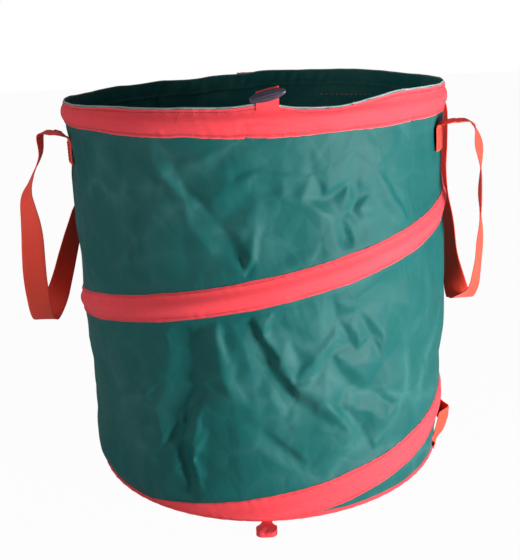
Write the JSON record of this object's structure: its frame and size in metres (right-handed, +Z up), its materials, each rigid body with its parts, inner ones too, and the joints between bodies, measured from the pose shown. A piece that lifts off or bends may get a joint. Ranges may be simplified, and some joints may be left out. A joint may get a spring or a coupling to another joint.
{
  "type": "garden waste bag",
  "caption": "Round pop-up garden waste bag: green coated-cloth tube on a spiral wire spring, red tape bands, webbing handles, toggles and loops to hold it flat.",
  "frame": {"origin": "middle of the base, on the ground", "axes": "+Z up, -Y the front, +X towards the right carrying handle"},
  "size_m": [0.5779, 0.5072, 0.4807],
  "materials": {
    "green_cloth": "coated oxford weave, slight sheen",
    "red_tape": "matt woven tape",
    "red_webbing": "ribbed polypropylene webbing",
    "spring_steel": "drawn spring wire",
    "dark_plastic": "gloss, finely ridged"
  },
  "bodies": {
    "base": {"base_panel": "green_cloth", "base_binding": "red_tape", "base_spring_ring": "spring_steel", "base_ring_sleeve": "spring_steel", "wall_ring_1": "green_cloth", "wall_seam": "green_cloth", "spring_spiral": "spring_steel", "spiral_casing": "red_tape", "base_handle_front_end": "red_webbing", "base_handle_rear_end": "red_webbing"},
    "ring_2": {"wall_ring_2": "green_cloth"},
    "ring_3": {"wall_ring_3": "green_cloth"},
    "ring_4": {"wall_ring_4": "green_cloth"},
    "ring_5": {"wall_ring_5": "green_cloth"},
    "ring_6": {"wall_ring_6": "green_cloth"},
    "rim": {"wall_ring_7": "green_cloth", "rim_casing": "red_tape", "rim_facing": "green_cloth", "rim_spring_ring": "spring_steel", "rim_ring_sleeve": "spring_steel", "left_handle_front_end": "red_webbing", "left_handle_rear_end": "red_webbing", "right_handle_front_end": "red_webbing", "right_handle_rear_end": "red_webbing", "front_toggle_root": "red_tape", "rear_toggle_root": "red_tape"},
    "left_handle": {"left_handle": "red_webbing"},
    "right_handle": {"right_handle": "red_webbing"},
    "front_tab": {"front_toggle_tab": "red_tape"},
    "front_toggle": {"front_toggle": "dark_plastic"},
    "rear_tab": {"rear_toggle_tab": "red_tape"},
    "rear_toggle": {"rear_toggle": "dark_plastic"},
    "front_loop": {"front_closure_loop": "red_tape"},
    "rear_loop": {"rear_closure_loop": "red_tape"},
    "base_handle": {"base_handle": "red_webbing"}
  },
  "joints": [
    {"name": "collapse", "type": "slide", "parent": "base", "child": "rim", "axis": [0, 0, -1], "range_m": [0, 0.357], "stiffness_N_per_m": 60, "springref_m": -0.1, "deforming": ["spring_spiral", "spiral_casing", "wall_seam"]},
    {"name": "fold_ring_2", "type": "slide", "parent": "base", "child": "ring_2", "axis": [0, 0, -1], "range_m": [0, 0.0597]},
    {"name": "fold_ring_3", "type": "slide", "parent": "base", "child": "ring_3", "axis": [0, 0, -1], "range_m": [0, 0.1192]},
    {"name": "fold_ring_4", "type": "slide", "parent": "base", "child": "ring_4", "axis": [0, 0, -1], "range_m": [0, 0.1787]},
    {"name": "fold_ring_5", "type": "slide", "parent": "base", "child": "ring_5", "axis": [0, 0, -1], "range_m": [0, 0.2382]},
    {"name": "fold_ring_6", "type": "slide", "parent": "base", "child": "ring_6", "axis": [0, 0, -1], "range_m": [0, 0.2977]},
    {"name": "left_handle_lift", "type": "hinge", "parent": "rim", "child": "left_handle", "pos_m": [-0.24189, 0, 0.42325], "axis": [0, 1, 0], "range_deg": [0, 165]},
    {"name": "right_handle_lift", "type": "hinge", "parent": "rim", "child": "right_handle", "pos_m": [0.24559, 0, 0.41775], "axis": [0, -1, 0], "range_deg": [0, 165]},
    {"name": "front_tab_flip", "type": "hinge", "parent": "rim", "child": "front_tab", "pos_m": [0.02235, -0.22198, 0.4612], "axis": [0.995, 0.1002, 0], "range_deg": [-55, 105]},
    {"name": "front_toggle_tilt", "type": "hinge", "parent": "front_tab", "child": "front_toggle", "pos_m": [0.02269, -0.22535, 0.4714], "axis": [0.1002, -0.995, 0], "range_deg": [-8, 0]},
    {"name": "rear_tab_flip", "type": "hinge", "parent": "rim", "child": "rear_tab", "pos_m": [-0.02235, 0.22198, 0.4612], "axis": [-0.995, -0.1002, 0], "range_deg": [-175, 0]},
    {"name": "rear_toggle_tilt", "type": "hinge", "parent": "rear_tab", "child": "rear_toggle", "pos_m": [-0.02307, 0.22907, 0.45316], "axis": [0.0501, -0.4975, -0.866], "range_deg": [-8, 8]},
    {"name": "front_loop_lift", "type": "hinge", "parent": "base", "child": "front_loop", "pos_m": [0.0029, -0.22148, 0.002], "axis": [-0.9999, -0.0131, 0], "range_deg": [0, 72]},
    {"name": "rear_loop_lift", "type": "hinge", "parent": "base", "child": "rear_loop", "pos_m": [-0.0029, 0.22148, 0.002], "axis": [0.9999, 0.0131, 0], "range_deg": [0, 72]},
    {"name": "base_handle_pull", "type": "hinge", "parent": "base", "child": "base_handle", "pos_m": [0.21972, 0, 0.0115], "axis": [0, 1, 0], "range_deg": [0, 75]}
  ],
  "couplings": [
    {"joint": "fold_ring_2", "follows": "collapse", "ratio": 0.16667},
    {"joint": "fold_ring_3", "follows": "collapse", "ratio": 0.33333},
    {"joint": "fold_ring_4", "follows": "collapse", "ratio": 0.5},
    {"joint": "fold_ring_5", "follows": "collapse", "ratio": 0.66667},
    {"joint": "fold_ring_6", "follows": "collapse", "ratio": 0.83333}
  ]
}
